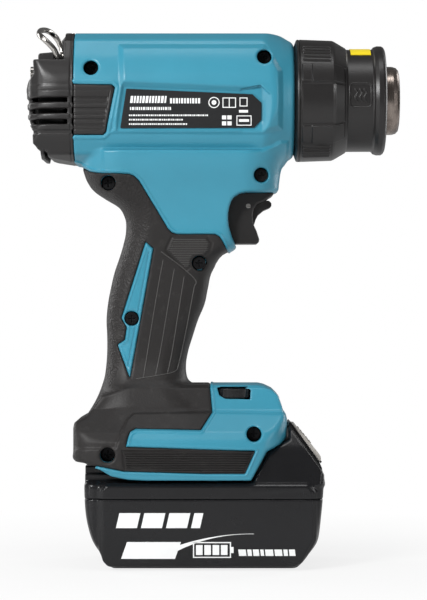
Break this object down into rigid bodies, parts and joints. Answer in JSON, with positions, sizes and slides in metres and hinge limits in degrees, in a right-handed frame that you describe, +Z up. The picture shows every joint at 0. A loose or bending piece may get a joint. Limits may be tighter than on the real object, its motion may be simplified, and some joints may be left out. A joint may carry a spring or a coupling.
{
  "type": "cordless heat gun",
  "caption": "Pistol-shaped cordless heat gun with steel outlet tube, twist-off guard, louvred rear intake, soft grip, trigger with lock-off lever and slide-on battery.",
  "frame": {"origin": "centre of the battery's underside between its end faces and on the parting plane of the side shells, on the resting surface", "axes": "+X forward along the barrel, towards the outlet; +Y to the tool's left; +Z up"},
  "size_m": [0.1851, 0.0788, 0.2673],
  "materials": {
    "teal": "fine grained moulded nylon, blue-green",
    "grip": "soft overmould with line and hexagon texture",
    "black_plastic": "fine grained moulded nylon, black",
    "battery_plastic": "semi-gloss black",
    "label": "printed plate",
    "yellow": "yellow film",
    "steel": "heat-tinted steel",
    "dark_steel": "blackened steel",
    "nickel": "nickel plated wire and screw",
    "ceramic": null,
    "motor": "zinc plated can",
    "brass": "tin plated contacts",
    "board": "solder mask",
    "lens": "clear lens",
    "cell": "shrink-wrapped cells; aluminium gives their density",
    "button_grey": "warm light grey",
    "wire": "silicone insulated wire"
  },
  "bodies": {
    "housing": {"housing_right": "teal", "housing_left": "teal", "grip_right": "grip", "grip_left": "grip", "housing_screws": "dark_steel", "rating_plate": "label", "side_plate": "label", "vent_insert_right": "black_plastic", "vent_insert_left": "black_plastic", "rear_cover": "black_plastic", "ring_holder": "black_plastic", "holder_screw": "nickel", "front_ring": "black_plastic", "heat_tube": "steel", "tube_holder": "ceramic", "mica_sleeve": "ceramic", "element_core": "ceramic", "heating_coil": "steel", "temperature_sensor": "steel", "fan_shroud": "black_plastic", "intake_screen": "dark_steel", "motor": "motor", "motor_mount": "black_plastic", "air_duct": "black_plastic", "trigger_spring": "steel", "switch_unit": "black_plastic", "control_board": "board", "dial_potentiometer": "board", "lamp_lens": "lens", "lamp_board": "board", "terminal_block": "black_plastic", "terminal_blades": "brass", "power_leads": "wire", "heater_leads": "wire"},
    "trigger_body": {"trigger": "black_plastic", "trigger_pin": "steel", "lever_spring": "steel", "switch_plunger": "black_plastic"},
    "lock": {"lock_lever": "black_plastic"},
    "dial": {"temp_dial": "battery_plastic"},
    "ring": {"hanging_ring": "nickel"},
    "battery": {"battery_bottom_case": "battery_plastic", "battery_top_case": "battery_plastic", "battery_screws": "dark_steel", "battery_cells": "cell", "cell_frame": "black_plastic", "battery_board": "board", "battery_contacts": "brass", "button_spring": "steel", "gauge_window": "lens"},
    "release": {"release_button": "button_grey"},
    "gauge": {"gauge_button": "battery_plastic"},
    "rotor": {"fan": "black_plastic", "motor_shaft": "steel"},
    "protector": {"heat_protector": "black_plastic", "protector_label": "yellow"}
  },
  "joints": [
    {"name": "trigger_slide", "type": "slide", "parent": "housing", "child": "trigger_body", "axis": [-1, 0, 0], "range_m": [0, 0.006], "stiffness_N_per_m": 600, "springref_m": -0.004},
    {"name": "lock_lever_pivot", "type": "hinge", "parent": "trigger_body", "child": "lock", "pos_m": [0.022, 0, 0.1779], "axis": [0, 1, 0], "range_deg": [0, 10], "stiffness_Nm_per_rad": 0.05, "springref_deg": -11.46},
    {"name": "dial_turn", "type": "hinge", "parent": "housing", "child": "dial", "pos_m": [0.0149, -0.0086, 0.0853], "axis": [0, 0, 1], "range_deg": [-140, 140]},
    {"name": "ring_fold", "type": "hinge", "parent": "housing", "child": "ring", "pos_m": [-0.072, 0, 0.251], "axis": [0, 1, 0], "range_deg": [-48, 6]},
    {"name": "battery_slide", "type": "slide", "parent": "housing", "child": "battery", "axis": [1, 0, 0], "range_m": [0, 0.09]},
    {"name": "button_press", "type": "slide", "parent": "battery", "child": "release", "axis": [0.638, 0, -0.77], "range_m": [0, 0.004], "stiffness_N_per_m": 900, "springref_m": -0.002, "deforming": ["button_spring"]},
    {"name": "gauge_press", "type": "slide", "parent": "battery", "child": "gauge", "axis": [1, 0, 0], "range_m": [0, 0.0006], "stiffness_N_per_m": 900, "springref_m": -0.0004},
    {"name": "fan_spin", "type": "hinge", "parent": "housing", "child": "rotor", "pos_m": [-0.04, 0, 0.2308], "axis": [1, 0, 0], "continuous": true},
    {"name": "protector_twist", "type": "hinge", "parent": "housing", "child": "protector", "pos_m": [0.055, 0, 0.2308], "axis": [1, 0, 0], "range_deg": [-30, 0]}
  ]
}
